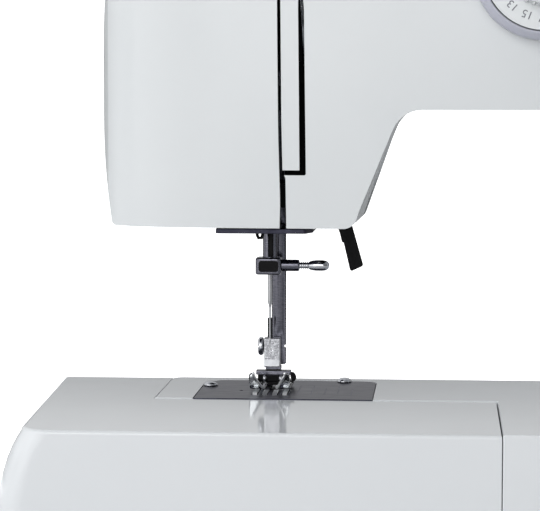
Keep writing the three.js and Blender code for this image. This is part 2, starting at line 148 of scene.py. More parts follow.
def mesh_object(name, points, faces):
    """A mesh from points in millimetres from the needle."""
    mesh = bpy.data.meshes.new(name)
    mesh.from_pydata([place(*p) for p in points], [], faces)
    obj = bpy.data.objects.new(name, mesh)
    bpy.context.scene.collection.objects.link(obj)
    work = bmesh.new()
    work.from_mesh(mesh)
    bmesh.ops.remove_doubles(work, verts=work.verts, dist=1e-7)
    bmesh.ops.recalc_face_normals(work, faces=work.faces)
    work.to_mesh(mesh)
    work.free()
    return obj


def loft(name, rings, capped=True):
    """Closed rings with the same number of points, joined one to the next."""
    count = len(rings[0])
    points = [p for ring in rings for p in ring]
    faces = []
    for r in range(len(rings) - 1):
        for k in range(count):
            a, b = r * count + k, r * count + (k + 1) % count
            faces.append((a, b, b + count, a + count))
    if capped:
        faces.append(tuple(range(count))[::-1])
        faces.append(tuple(range((len(rings) - 1) * count, len(rings) * count)))
    return mesh_object(name, points, faces)


def prism(name, outline, low, high, axis="z"):
    """An outline pushed along an axis. It lies in xy for z, xz for y and yz for x."""
    lift = {
        "z": lambda a, b, h: (a, b, h),
        "y": lambda a, b, h: (a, h, b),
        "x": lambda a, b, h: (h, a, b),
    }[axis]
    return loft(name, [[lift(a, b, h) for a, b in outline] for h in (low, high)])


def block(name, x0, x1, y0, y1, z0, z1):
    return prism(name, [(x0, y0), (x1, y0), (x1, y1), (x0, y1)], z0, z1)


def turned(name, profile, centre, axis="z", steps=48):
    """A profile of (radius, height) turned about an axis. centre gives the other two coordinates."""
    lift = {
        "z": lambda u, v, h: (centre[0] + u, centre[1] + v, h),
        "y": lambda u, v, h: (centre[0] + u, h, centre[1] + v),
        "x": lambda u, v, h: (h, centre[0] + u, centre[1] + v),
    }[axis]
    points, faces, rows = [], [], []
    for radius, height in profile:
        if radius < 1e-6:
            rows.append([len(points)])
            points.append(lift(0, 0, height))
            continue
        rows.append(list(range(len(points), len(points) + steps)))
        for k in range(steps):
            angle = 2 * math.pi * k / steps
            points.append(lift(radius * math.cos(angle), radius * math.sin(angle), height))
    for low, high in zip(rows, rows[1:]):
        for k in range(steps):
            n = (k + 1) % steps
            if len(low) == 1 and len(high) == 1:
                continue
            if len(low) == 1:
                faces.append((low[0], high[n], high[k]))
            elif len(high) == 1:
                faces.append((low[k], low[n], high[0]))
            else:
                faces.append((low[k], low[n], high[n], high[k]))
    return mesh_object(name, points, faces)


def drill(radius, low, high, centre, axis="z", steps=48):
    """A plain round tool to cut holes with."""
    return turned("drill", [(0, low), (radius, low), (radius, high), (0, high)], centre, axis, steps)


def ring_of(name, profile, centre, radius, count, axis):
    """Small turned pieces, evenly set on a circle."""
    angles = [2 * math.pi * k / count for k in range(count)]
    spots = [(centre[0] + radius * math.cos(a), centre[1] + radius * math.sin(a)) for a in angles]
    return [turned(name, profile, spot, axis, 10) for spot in spots]


def tube(name, path, radius, steps=16):
    """A round bar along a path, with round ends."""
    rings = []
    points = [Vector(p) for p in path]
    side = Vector((0, 0, 1))
    count = len(points)
    for i, p in enumerate(points):
        ahead = (points[min(i + 1, count - 1)] - points[max(i - 1, 0)]).normalized()
        if abs(ahead.dot(side)) > 0.95:
            side = Vector((1, 0, 0))
        u = (side - ahead * side.dot(ahead)).normalized()
        v = ahead.cross(u)
        side = u
        r = radius(i / (count - 1)) if callable(radius) else radius
        ends = [(0.0, 1.0)]
        if i == 0:
            ends = [(-math.cos(a) * r, math.sin(a)) for a in (0.2, 0.6, 1.1)] + ends
        if i == count - 1:
            ends = ends + [(math.cos(a) * r, math.sin(a)) for a in (1.1, 0.6, 0.2)]
        for along, share in ends:
            ring = []
            for k in range(steps):
                angle = 2 * math.pi * k / steps
                spot = p + ahead * along + (u * math.cos(angle) + v * math.sin(angle)) * r * share
                ring.append(tuple(spot))
            rings.append(ring)
    return loft(name, rings)


def settle(obj):
    """Bakes an object's modifiers into its mesh."""
    graph = bpy.context.evaluated_depsgraph_get()
    baked = bpy.data.meshes.new_from_object(obj.evaluated_get(graph))
    old = obj.data
    obj.modifiers.clear()
    obj.data = baked
    bpy.data.meshes.remove(old)
    return obj


def combine(obj, tools, operation):
    for tool in tools:
        step = obj.modifiers.new("form", "BOOLEAN")
        step.operation = operation
        step.solver = "EXACT"
        step.object = tool
        settle(obj)
        bpy.data.objects.remove(tool)
    return obj


def cut(obj, *tools):
    return combine(obj, tools, "DIFFERENCE")


def join(obj, *tools):
    return combine(obj, tools, "UNION")


def common(obj, *tools):
    return combine(obj, tools, "INTERSECT")


def copy_of(obj):
    twin = obj.copy()
    twin.data = obj.data.copy()
    bpy.context.scene.collection.objects.link(twin)
    return twin


def gather(name, objects):
    """Several objects as one, without joining their surfaces."""
    work = bmesh.new()
    for obj in objects:
        work.from_mesh(obj.data)
        bpy.data.objects.remove(obj)
    mesh = bpy.data.meshes.new(name)
    work.to_mesh(mesh)
    work.free()
    whole = bpy.data.objects.new(name, mesh)
    bpy.context.scene.collection.objects.link(whole)
    return whole


def soften(obj, width, segments=3, angle=32, baked=False):
    """Rounds the sharp edges and shades the rest smooth."""
    flat = obj.modifiers.new("flat", "DECIMATE")
    flat.decimate_type = "DISSOLVE"
    flat.angle_limit = math.radians(0.4)
    bevel = obj.modifiers.new("edges", "BEVEL")
    bevel.width = width * MM
    bevel.segments = segments
    bevel.limit_method = "ANGLE"
    bevel.angle_limit = math.radians(angle)
    bevel.use_clamp_overlap = True
    bevel.miter_outer = "MITER_ARC"
    if baked:
        return settle(obj)
    shade(obj)
    return obj


def shade(obj, angle=38):
    """Smooth shading that keeps flat faces flat."""
    for face in obj.data.polygons:
        face.use_smooth = True
    normals = obj.modifiers.new("normals", "WEIGHTED_NORMAL")
    normals.keep_sharp = True
    normals.weight = 60
    return obj


# ---------------------------------------------------------------- materials


class Graph:
    """A material under construction."""

    def __init__(self, name):
        self.material = bpy.data.materials.new(name)
        self.material.use_nodes = True
        self.tree = self.material.node_tree
        self.shader = self.tree.nodes["Principled BSDF"]
        self.where = self.node("ShaderNodeTexCoord").outputs["Object"]

    def node(self, kind, **inputs):
        made = self.tree.nodes.new(kind)
        for key, value in inputs.items():
            made.inputs[key].default_value = value
        return made

    def link(self, a, b):
        self.tree.links.new(a, b)

    def set(self, **values):
        for key, value in values.items():
            self.shader.inputs[key.replace("_", " ")].default_value = value

    def noise(self, scale, detail=3.0, rough=0.5, stretch=(1, 1, 1), seed=0.0):
        mapping = self.node("ShaderNodeMapping")
        mapping.inputs["Scale"].default_value = stretch
        mapping.inputs["Location"].default_value = (seed, seed * 1.7, seed * 0.6)
        self.link(self.where, mapping.inputs["Vector"])
        noise = self.node("ShaderNodeTexNoise")
        noise.inputs["Scale"].default_value = scale
        noise.inputs["Detail"].default_value = detail
        noise.inputs["Roughness"].default_value = rough
        self.link(mapping.outputs["Vector"], noise.inputs["Vector"])
        return noise.outputs["Fac"]

    def spread(self, value, low, high, lowest=0.3, highest=0.7):
        ranged = self.node("ShaderNodeMapRange")
        ranged.inputs["From Min"].default_value = lowest
        ranged.inputs["From Max"].default_value = highest
        ranged.inputs["To Min"].default_value = low
        ranged.inputs["To Max"].default_value = high
        self.link(value, ranged.inputs["Value"])
        return ranged.outputs["Result"]

    def tint(self, value, dark, light):
        ramp = self.node("ShaderNodeValToRGB")
        ramp.color_ramp.elements[0].position = 0.3
        ramp.color_ramp.elements[0].color = (*dark, 1)
        ramp.color_ramp.elements[1].position = 0.7
        ramp.color_ramp.elements[1].color = (*light, 1)
        self.link(value, ramp.inputs["Fac"])
        self.link(ramp.outputs["Color"], self.shader.inputs["Base Color"])

    def rough(self, value, low, high):
        self.link(self.spread(value, low, high), self.shader.inputs["Roughness"])

    def bump(self, value, distance, strength=1.0):
        bump = self.node("ShaderNodeBump")
        bump.inputs["Strength"].default_value = strength
        bump.inputs["Distance"].default_value = distance * MM
        self.link(value, bump.inputs["Height"])
        self.link(bump.outputs["Normal"], self.shader.inputs["Normal"])


def plastic(name, dark, light, low, high, grain=1400.0, depth=0.01, coat=0.0, ior=1.5):
    """Moulded plastic: faint colour drift, fine mould grain, and gloss that varies."""
    g = Graph(name)
    g.tint(g.noise(14, 4, 0.6), dark, light)
    g.rough(g.noise(60, 5, 0.6, seed=3), low, high)
    g.bump(g.noise(grain, 2, 0.5, seed=7), depth, 0.35)
    g.set(IOR=ior, Coat_Weight=coat, Coat_Roughness=0.06)
    return g.material


def metal(name, dark, light, low, high, stretch=(1, 1, 1), scale=900.0, depth=0.01, strength=0.5):
    """Metal with a brushed or turned grain along the least stretched direction."""
    g = Graph(name)
    grain = g.noise(scale, 4, 0.65, stretch=stretch)
    g.tint(grain, dark, light)
    g.rough(g.noise(scale * 0.4, 4, 0.6, stretch=stretch, seed=5), low, high)
    g.bump(grain, depth, strength)
    g.set(Metallic=1.0)
    return g.material


MATERIALS = {
    "casing": plastic("casing_gloss", (0.638, 0.663, 0.68), (0.653, 0.677, 0.692), 0.2, 0.27, 1700, 0.001),
    "bed": plastic("bed_gloss", (0.69, 0.714, 0.738), (0.704, 0.727, 0.75), 0.06, 0.1, 1700, 0.001, 0.1),
    "knob": plastic("knob_gloss", (0.66, 0.685, 0.70), (0.675, 0.70, 0.715), 0.12, 0.2, 1700, 0.002, 0.2),
    "rim": plastic("dial_rim_satin", (0.42, 0.43, 0.50), (0.47, 0.48, 0.55), 0.28, 0.38, 1500, 0.008),
    "grey": plastic("grey_moulding", (0.40, 0.41, 0.46), (0.46, 0.47, 0.52), 0.35, 0.5, 1200, 0.01),
    # black is the black mouldings, and also painted shade in slots, seams, grooves and hollows.
    "black": plastic(
        "black_moulding_and_painted_shade", (0.002, 0.002, 0.003), (0.005, 0.005, 0.006), 0.42, 0.55, 1100, 0.012, 0.0, 1.22
    ),
    "ink": plastic("printed_ink", (0.13, 0.13, 0.16), (0.18, 0.18, 0.21), 0.5, 0.6, 900, 0.004),
    "rubber": plastic("foot_rubber", (0.012, 0.012, 0.012), (0.03, 0.03, 0.03), 0.7, 0.9, 700, 0.03),
    "slate": metal(
        "plate_satin", (0.038, 0.038, 0.056), (0.056, 0.056, 0.078), 0.3, 0.42, (1, 14, 1), 260, 0.006
    ),
    "chrome": metal(
        "bright_chrome", (0.44, 0.45, 0.48), (0.56, 0.57, 0.60), 0.08, 0.17, (1, 1, 10), 300, 0.003
    ),
    "bar": metal("ground_bar", (0.075, 0.075, 0.095), (0.19, 0.19, 0.22), 0.12, 0.24, (1, 1, 12), 420, 0.004),
    # A bright metal used only for painted highlights.
    "painted_highlight_silver": metal("painted_highlight_edge", (0.80, 0.81, 0.83), (0.88, 0.89, 0.90), 0.3, 0.42, (1, 1, 1), 500, 0.004),
    # A brighter metal for the painted highlights on the foot holder.
    "painted_highlight_nickel": metal("nickel_facet_painted_highlight", (0.36, 0.37, 0.39), (0.44, 0.45, 0.47), 0.3, 0.42, (1, 1, 1), 500, 0.004),
    "steel": metal(
        "ground_steel", (0.34, 0.345, 0.36), (0.46, 0.465, 0.48), 0.24, 0.38, (1, 1, 12), 420, 0.006
    ),
    "turned": metal(
        "turned_steel", (0.30, 0.31, 0.33), (0.44, 0.45, 0.47), 0.2, 0.34, (12, 1, 1), 420, 0.008
    ),
    "cast": metal("cast_alloy", (0.16, 0.16, 0.18), (0.78, 0.79, 0.82), 0.2, 0.5, (1, 1, 1), 1500, 0.2, 1.0),
    "paint": plastic("motor_paint", (0.02, 0.02, 0.022), (0.04, 0.04, 0.043), 0.4, 0.55, 600, 0.03),
}


def glass(name, tint, roughness, transmission=1.0, ior=1.49):
    g = Graph(name)
    g.tint(g.noise(120, 3, 0.5), tuple(0.97 * c for c in tint), tint)
    g.rough(g.noise(200, 3, 0.5, seed=2), roughness, roughness + 0.05)
    g.set(Transmission_Weight=transmission, IOR=ior)
    return g.material


MATERIALS["clear"] = glass("clear_plastic", (0.92, 0.95, 0.97), 0.03)
MATERIALS["bulb"] = glass("lamp_glass", (0.98, 0.98, 0.96), 0.01, 1.0, 1.46)


def paint(obj, finish):
    obj.data.materials.clear()
    obj.data.materials.append(MATERIALS[finish])


def touch_up(obj, finish, chosen):
    """Paints light and shade: gives the faces for which chosen(normal, spot) holds a second material, black
    for painted shade and bright metal for painted highlights.
    """
    obj.data.materials.append(MATERIALS[finish])
    for face in obj.data.polygons:
        if chosen(face.normal, (face.center - ORIGIN) / MM):
            face.material_index = 1


def in_the_dark(normal, spot):
    """Whether a face of the casing lies in the take-up slot, in the head seam or inside the back wall, where
    it is painted black as painted shade.
    """
    if normal.y < -0.5 and spot.y > SEAM_Y + 10 and spot.z < 205:
        return True
    if abs(normal.y) >= 0.6 or not 5.4 < spot.x < 19 or spot.y >= SEAM_Y - 1 or spot.z >= TOP - 4:
        return False
    return spot.z < 216 or abs(normal.x) > 0.7


def fit(obj, body, finish, stands_for=(), edge=0.0, segments=3):
    """Gives a piece its edges, its finish, its body and the CAD nodes it stands for."""
    if edge > 0:
        soften(obj, edge, segments)
    else:
        shade(obj)
    paint(obj, finish)
    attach(obj, body)
    if stands_for:
        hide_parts(*stands_for)
    return obj


# ---------------------------------------------------------------- casing

ARM_UNDER = 128.5
HEAD_UNDER = 76.4
TOP = node_box("front_cover")[1].z
PILLAR_LEFT = 150.0
CASE_RIGHT = node_box("front_cover")[1].x
SEAM_Y = 12.0
HEAD_SWELL = 348.0
HEAD_WIDEST = 140.0

# Where the controls sit on the front, and the handwheel on the right end.
DIAL = (121.6, 189.0)
LENGTH_DIAL = (205.0, 189.0)
WHEEL = (0.0, 168.0)


def head_left(z):
    """How far left the head reaches at a height."""
    return -76.0 + (z - HEAD_WIDEST) ** 2 / (2 * HEAD_SWELL)


left_side = [(head_left(z), z, 0) for z in range(176, 84, -8)]
CASE_FACE = -50.0
CASE_REAR = 50.0


def case_outline(draft, foot_radius):
    """The casing from the front. draft is how far the foot of the head's right wall is drawn in."""
    corners = [
        (head_left(HEAD_UNDER), HEAD_UNDER, foot_radius), (41.9 - draft, HEAD_UNDER, 6),
        (60.2, ARM_UNDER, 14), (PILLAR_LEFT, ARM_UNDER, 13), (PILLAR_LEFT, GAP, 0), (CASE_RIGHT, GAP, 0),
        (CASE_RIGHT, TOP, 24), (-68, TOP, 34), *left_side,
    ]
    return fillet(corners, 10)


plan_front = [
    (-76.5, 17), (-76.5, 8), (-75.8, -3), (-73, -12), (-66.5, -20.5), (-56, -27.5), (-40, -32.5), (-20, -35),
    (5, -36.3), (50, -38.4), (100, -39.7), (130, -40),
]
plan_back = [(-55, 37), (-66, 34), (-73, 27)]
case_plan = fillet(
    [
        *[(x, y, 0) for x, y in spline(plan_front, 6, closed=False)],
        (CASE_RIGHT, -40, 13),
        (CASE_RIGHT, 37, 10),
        *[(x, y, 0) for x, y in spline(plan_back, 4, closed=False)],
    ],
    8,
)


def case_form(name, depth):
    """The casing as one solid, drawn in by depth all round."""
    # A rounder foot keeps the drawn-in outline from crossing itself at the corner.
    radius = 5.0 if depth else 2.5
    face, rear, plan = case_outline(3.0, radius), case_outline(0, radius), case_plan
    if depth:
        face, rear, plan = inset(face, depth), inset(rear, depth), inset(plan, depth)
    rings = [[(x, y, z) for x, z in ring] for ring, y in ((face, CASE_FACE), (rear, CASE_REAR))]
    return common(loft(name, rings), prism("plan", plan, -6, TOP + 6))


outer = case_form("case", 0)
soften(outer, 1.5, 4, 40, baked=True)
hollow = cut(case_form("hollow", SKIN), block("handle_floor", 40, 145, -18, 37, 209, 230))
well = prism("well", rounded(43, 142, -14.2, 33, 5), 213.2, 240)
mouth = prism("mouth", rounded(-38, 33, -28, 30, 6), 70, 84)
pillar_foot = block("pillar_foot", 155, 257, -35, 33.6, -5, 6)
shaft_hole = drill(6.5, 250, 270, WHEEL, "x")
pivots = drill(2.4, 39, 146, (-8, 219.5), "x", 24)
cut(outer, hollow, well, mouth, pillar_foot, shaft_hole, pivots)

face_zone = spline(
    [(7.1, 60), (7.1, 76.4), (7.3, 88), (7.0, 100), (6.4, 123), (5.9, 178), (5.8, 240)], 4, closed=False
)
face_zone += [(-120, 240), (-120, 60)]
face = common(copy_of(outer), prism("zone", face_zone, -70, SEAM_Y - GAP, "y"))
face.name = "face_cover_shell"
fit(face, "face_cover", "casing", ["face_cover"], 0.7)
# Painted shade: the faces in the slot and the seam are painted black.
touch_up(face, "black", in_the_dark)

front_zone = fillet(
    [
        (10.1, -20, 0), (320, -20, 0), (320, 260, 0), (7.4, 260, 0), (7.4, 178, 0), (7.9, 123, 0),
        (8.4, 101.0, 0.8), (9.7, 98.6, 1.5), (10.1, 76.4, 0),
    ],
    4,
)
front = common(copy_of(outer), prism("zone", front_zone, -70, SEAM_Y - GAP, "y"))
front.name = "front_cover_shell"
take_up_slot = fillet(
    [
        (15.9, 99.8, 0), (18.7, 99.8, 0.8), (17.8, 172, 3), (17.5, 176, 3), (17.5, 214, 0.8),
        (15.3, 214, 0.8), (15.2, 173, 0)
    ],
    4,
)
cut(
    front,
    prism("slot", take_up_slot, -60, -25, "y"),
    block("slot_foot", 7, 17.5, -60, -25, 99.8, 102),
    drill(4.6, -50, -30, DIAL, "y", 24),
    drill(3.6, -50, -30, LENGTH_DIAL, "y", 24),
    prism("reverse_hole", rounded(201.3, 208.7, 110, 138, 1), -50, -30, "y"),
    prism("tension_hole", rounded(29.4, 38.6, -30, -6, 1), 215, 230),
    prism("winder_hole", rounded(200.5, 215.5, -13.8, -6.2, 3.7), 215, 230),
)
fit(front, "machine", "casing", ["front_cover"], 0.6)
# Painted shade: the faces in the take-up slot and the seam are painted black.
touch_up(front, "black", in_the_dark)

rear = common(copy_of(outer), block("zone", -120, 320, SEAM_Y, 70, -20, 260))
rear.name = "rear_cover_shell"
vents = [prism("vent", rounded(-50, -18, z, z + 2.2, 1.05, 4), 30, 40, "y") for z in range(150, 192, 6)]
vents += [prism("vent", rounded(172, 236, z, z + 2.2, 1.05, 4), 30, 40, "y") for z in range(24, 60, 6)]
case_screws = [(-48, 98), (62, 146), (240, 132), (165, 72), (240, 12)]
cut(
    rear,
    *vents,
    *[drill(4.2, 35.6, 40, spot, "y", 32) for spot in case_screws],
    drill(2.9, 200, 230, (150, 22), "z", 24),
    drill(2.9, 200, 230, (180, 22), "z", 24),
    block("lifter_notch", 14, 62, 19, 25, 70, 100),
)
fit(rear, "machine", "casing", ["rear_cover"], 0.6)
# Painted shade: the inside of the back wall and the slot walls are painted black.
touch_up(rear, "black", in_the_dark)
heads = []
for x, z in case_screws:
    profile = [(0, 35.65), (3.4, 35.65), (3.4, 35.9), (2.6, 36.5), (1.4, 36.75), (0, 36.8)]
    head = turned("screw", profile, (x, z), "y", 28)
    flat_drive = block("drive", x - 2, x + 2, 36.2, 38, z - 0.4, z + 0.4)
    tall_drive = block("drive", x - 0.4, x + 0.4, 36.2, 38, z - 2, z + 2)
    heads.append(cut(head, flat_drive, tall_drive))
fit(gather("rear_cover_screws", heads), "machine", "chrome")
bpy.data.objects.remove(outer)

# ---------------------------------------------------------------- bed

BED_RIGHT = 262.0
BED_BACK = 39.0
BED_FRONT = -125.0
ARM_FRONT = -31.0
ARM_LEFT = -49.4
ARM_RIGHT = 103.3
base_plan = fillet(
    [
        (ARM_RIGHT, BED_FRONT, 0), (BED_RIGHT, BED_FRONT, 15), (BED_RIGHT, BED_BACK, 9),
        (ARM_RIGHT, BED_BACK, 0)
    ],
    10
)
bed = prism("bed_shell", base_plan, -59.7, 0)
arm_corners = [(ARM_LEFT, ARM_FRONT, 1), (110, ARM_FRONT, 0), (110, BED_BACK, 0), (ARM_LEFT, BED_BACK, 5)]
join(bed, prism("arm", fillet(arm_corners, 6), -46, 0))
soften(bed, 0.7, 4, 40, baked=True)
plate_outline = fillet([(-32, -31, 0.6), (48, -31, 0.6), (48, 30, 6), (-25, 30, 7), (-32, 22, 7)], 6)
screw_spots = [(-28.3, 10), (33, 26.6)]
cut(
    bed,
    block("arm_inside", ARM_LEFT + SKIN, 110, ARM_FRONT + SKIN, 36, -43, -SKIN),
    prism("base_inside", inset(base_plan, SKIN), -62, -SKIN),
    prism("recess", inset(plate_outline, -GAP), -2.3, 3),
    block("plate_hole", -26, 42, -26, 24, -6, 1),
    block("door_hole", -30, 28, -33, -25, -43.5, -4),
    block("pillar_hole", 157, 255, -33, 33.6, -6, 1),
    prism("inlet_hole", rounded(-70.4, -45.6, -46.4, -25.6, 1), 255, 265, "x"),
    prism("switch_hole", rounded(-103.4, -88.6, -46.4, -23.6, 1), 255, 265, "x"),
    *[drill(2.1, -10, 3, spot, "z", 24) for spot in screw_spots],
)
fit(bed, "machine", "bed", ["bed_cover"], 0.35, 2)

# The extension table: its walls lean out towards the table top, and its left end is drawn in at the front.
TABLE_TOP = -0.4
TABLE_FOOT = -73.0
TABLE_EDGE = 1.5


def table_lean(z):
    """How far the left wall has leaned out at a height, as a share of its whole lean."""
    return 1 - math.exp(min(z - TABLE_TOP + TABLE_EDGE, 0) / 18)


def table_ring(z, lean, shrink=0.0):
    left_back = -101.6 - 3.2 * lean + shrink * 0.6
    left_front = -93.0 - 13.4 * lean + shrink
    front = BED_FRONT + shrink
    corners = [
        (left_front, front, 13), (103 - shrink * 0.3, front, 0.3), (103 - shrink * 0.3, 0, 0),
        (103 - shrink * 0.3, BED_BACK - shrink * 0.3, 0), (left_back, BED_BACK - shrink * 0.3, 2),
    ]
    return [(x, y, z) for x, y in fillet(corners, 14)]


rings = []
for k in range(7):
    angle = math.pi / 2 * k / 6
    drop = TABLE_EDGE * (1 - math.cos(angle))
    rings.append(table_ring(TABLE_TOP - drop, 0, TABLE_EDGE * (1 - math.sin(angle))))
for k in range(1, 13):
    z = TABLE_TOP - TABLE_EDGE + (TABLE_FOOT - TABLE_TOP + TABLE_EDGE) * (k / 12) ** 1.3
    rings.append(table_ring(z, table_lean(z)))
table = loft("extension_table_shell", rings[::-1])
inner = common(
    loft(
        "table_inside",
        [table_ring(z, table_lean(z), 2 * SKIN) for z in (-80, -70, -55, -40, -30, -20, -12, -3.4)]
    ),
    block("table_space", -120, 103 - SKIN, BED_FRONT + SKIN, BED_BACK - SKIN, -80, 0),
)
notch = prism(
    "notch", fillet([(-49.7, -31.3, 0.8), (140, -31.3, 0), (140, 60, 0), (-49.7, 60, 0)], 4), -80, 5
)
notch_wall = prism("notch_wall", [(-52.7, -34.3), (140, -34.3), (140, 60), (-52.7, 60)], -80, 5)
cut(inner, notch_wall)
cut(table, notch, inner, block("well", -40, 95, -38, -30, -62, -3.4))
fit(table, "extension_table", "bed", ["extension_table"], 0.3, 2)

# ---------------------------------------------------------------- needle plate and feed

FEED_MID = 1.2
FEED_PITCH = 4.5
feed_rows = [FEED_MID + step * FEED_PITCH for step in (-1.5, -0.5, 0.5, 1.5)]


def row_spans(x, near, far):
    return [(-far, far)] if abs(x - FEED_MID) > FEED_PITCH else [(-far, -near), (near, far)]


plate = prism("needle_plate_sheet", plate_outline, -2, 0)
soften(plate, 0.35, 3, 40, baked=True)
slots = [
    prism("slot", rounded(x - 1.4, x + 1.4, y0, y1, 1.2, 5), -4, 2)
    for x in feed_rows
    for y0, y1 in row_spans(x, 4, 19.6)
]
guides = [(13.6, -17, 12), (19.8, -17, 12), (25.8, -17, 3), (31.6, -12, 12), (37.9, -17, 3)]
lines = [block("line", x - 0.22, x + 0.22, y0, y1, -0.14, 2) for x, y0, y1 in guides]
cut(
    plate,
    *slots,
    prism("needle_hole", rounded(-3.6, 3.6, -1, 1, 0.95, 5), -4, 2),
    drill(0.9, -4, 2, (-12.7, -5), "z", 20),
    *lines,
    *[drill(2.1, -10, 3, spot, "z", 24) for spot in screw_spots],
)
fit(plate, "machine", "slate", ["needle_plate"], 0.12, 2)


def in_a_slot(normal, spot):
    """Whether a face of the needle plate is a side wall of one of its slots."""
    return abs(normal.z) < 0.5 and abs(spot.x - FEED_MID) < 9 and abs(spot.y) < 21


# Painted shade: the side walls of the slots are painted black.
touch_up(plate, "black", in_a_slot)
inlay = gather(
    "plate_guide_lines",
    [block("line", x - 0.2, x + 0.2, y0 + 0.1, y1 - 0.1, -0.13, -0.03) for x, y0, y1 in guides]
)
fit(inlay, "machine", "ink")

for side, (x, y) in zip(("left", "right"), screw_spots):
    head = turned(
        f"plate_screw_{side}_head",
        [
            (0, -5), (1.6, -5), (1.6, 0.2), (3.3, 0.2), (3.4, 0.5), (3.0, 1.3), (2.1, 1.85), (1.0, 2.1),
            (0, 2.15)
        ],
        (x, y),
    )
    cut(head, block("drive", x - 4, x + 4, y - 0.4, y + 0.4, 1.2, 3))
    fit(head, "machine", "chrome", [f"plate_screw_{side}"], 0.1, 2)


def tooth_row(y0, y1, pitch=1.9):
    count = round((y1 - y0) / pitch)
    outline = [(y0, -8), (y1, -8)]
    for i in range(count, 0, -1):
        back = y0 + (y1 - y0) * i / count
        ahead = y0 + (y1 - y0) * (i - 1) / count
        outline += [(back, 0.45), (back - 0.35, 0.8), (ahead + 0.2, -0.25)]
    return outline


rows = [
    prism("row", tooth_row(y0, y1), x - 1, x + 1, "x")
    for x in feed_rows
    for y0, y1 in row_spans(x, 5.9, 17.8)
]
feed = join(block("feed_dog_body", -7.4, 9.8, -18, 18, -9, -6), *rows)
cut(feed, block("needle_way", -3.2, 3.6, -3.6, 3.6, -10, -5))
fit(feed, "feed_dog", "bar", ["feed_dog"], 0.08, 2)
# Painted highlight: the front faces of the teeth get a bright metal.
touch_up(feed, "painted_highlight_silver", lambda normal, spot: normal.y < -0.3 and spot.z > -1.5)

# ---------------------------------------------------------------- needle side

needle_bar = turned(
    "needle_bar_rod", [(0, 54), (2.9, 54), (3.25, 54.4), (3.25, 143), (2.4, 146), (0, 146)], (0, 0), "z", 64
)
cut(needle_bar, prism("groove", rounded(-0.6, 1.7, -4, -1.9, 0.5, 3), 61.2, 72.6))
fit(needle_bar, "needle_bar", "bar", ["needle_bar"], 0.15, 2)
# Painted shade: a black strip at the back of the groove, where the recess looks dark.
groove = prism("needle_bar_groove", rounded(-0.5, 1.6, -2.6, -1.95, 0.3, 2), 61.4, 72.4)
fit(groove, "needle_bar", "black")

clamp = prism("needle_clamp_block", rounded(-6.3, 5.5, -6.2, 4.6, 2.0), 53.2, 60.9)
soften(clamp, 0.8, 3, 40, baked=True)
boss = turned(
    "boss", [(0, 4.5), (2.5, 4.5), (2.7, 5.0), (2.7, 12.9), (2.4, 13.5), (0, 13.5)], (-0.8, 57.2), "x"
)
cut(
    boss,
    drill(2, 8, 15, (-0.8, 57.2), "x"),
    drill(3.55, 50, 65, (0, 0)),
)
boss.name = "needle_clamp_boss"
fit(boss, "needle_bar", "bar")
cut(
    clamp,
    drill(3.55, 50, 65, (0, 0)),
    prism("face", rounded(-4.7, 4.2, 54.6, 59.5, 1.2), -7, -5.7, "y"),
)
fit(clamp, "needle_bar", "bar", ["needle_clamp"], 0.18, 2)
face_inlay = prism("needle_clamp_face", rounded(-4.6, 4.1, 54.7, 59.4, 1.1), -5.85, -5.68, "y")
fit(face_inlay, "needle_bar", "black")


def thread(x0, x1, outer_r, inner_r, pitch):
    profile = []
    count = round((x1 - x0) / pitch)
    for k in range(count):
        x = x0 + (x1 - x0) * k / count
        profile += [(inner_r, x), (outer_r, x + pitch * 0.45), (outer_r, x + pitch * 0.6)]
    return profile + [(inner_r, x1)]


screw = turned(
    "clamp_screw_knob",
    [
        (0, 8.4), *thread(8.4, 17.6, 1.65, 1.25, 0.9), (1.5, 17.7), (1.9, 18.2), (2.3, 19.4),
        (2.5, 21.4), (2.5, 24.2), (2.3, 25.6), (1.7, 26.7), (0.9, 27.15), (0, 27.2),
    ],
    (-0.8, 57.2),
    "x",
)
fit(screw, "needle_clamp_screw", "chrome", ["needle_clamp_screw"])

needle = turned(
    "needle_blade",
    [
        (0, 18.6), (0.12, 18.9), (0.3, 20), (0.42, 22), (0.44, 37.6), (0.62, 38.8), (1.0, 40), (1.0, 53.4),
        (0.8, 53.6), (0, 53.6)
    ],
    (0, 0),
    "z",
    32,
)
cut(
    needle,
    prism("eye", rounded(-0.16, 0.16, 21.6, 23.2, 0.15, 4), -2, 2, "y"),
    block("scarf", -2, 2, 0.26, 2, 23.6, 28),
    block("flat", -2, 2, 0.66, 2, 41, 54),
)
fit(needle, "needle_bar", "steel", ["needle"])

base_plate = prism(
    "head_base_sheet",
    fillet([(-23, -20, 1.5), (17.6, -20, 1.5), (20.4, -12, 3), (20.4, 24, 1.5), (-23, 24, 1.5)], 5),
    72.9,
    75.1
)
cut(
    base_plate,
    drill(3.7, 70, 80, (0, 0)),
    drill(3.9, 70, 80, (2.8, 18)),
)
fit(base_plate, "machine", "slate", ["head_base_plate"], 0.3)
thread_hook = tube(
    "thread_guide",
    [(-4.6, -8.4, 74.2), (-5.2, -8.6, 71.6), (-4.4, -9.4, 70.2), (-3.0, -9.8, 70.4), (-2.6, -9.4, 71.8)],
    0.75
)
fit(thread_hook, "machine", "black")

take_up = prism(
    "take_up_arm",
    spline(
        [
            (-3, 152.4), (-1.4, 156), (-3.4, 160.2), (-8, 161.6), (-22, 172), (-36, 183), (-41, 190.5),
            (-44, 192.8), (-46.3, 190.4), (-44.6, 187.2), (-40, 184.6), (-38, 180), (-24, 167.4),
            (-11, 153.6), (-7.4, 151.4)
        ],
        4,
    ),
    15.9,
    17.2,
    "x",
)
cut(
    take_up,
    drill(2.6, 10, 20, (-6, 156), "x"),
    drill(1.2, 10, 20, (-43.6, 189.8), "x"),
)
fit(take_up, "take_up_lever", "chrome", ["take_up_lever"], 0.3)

# ---------------------------------------------------------------- presser side

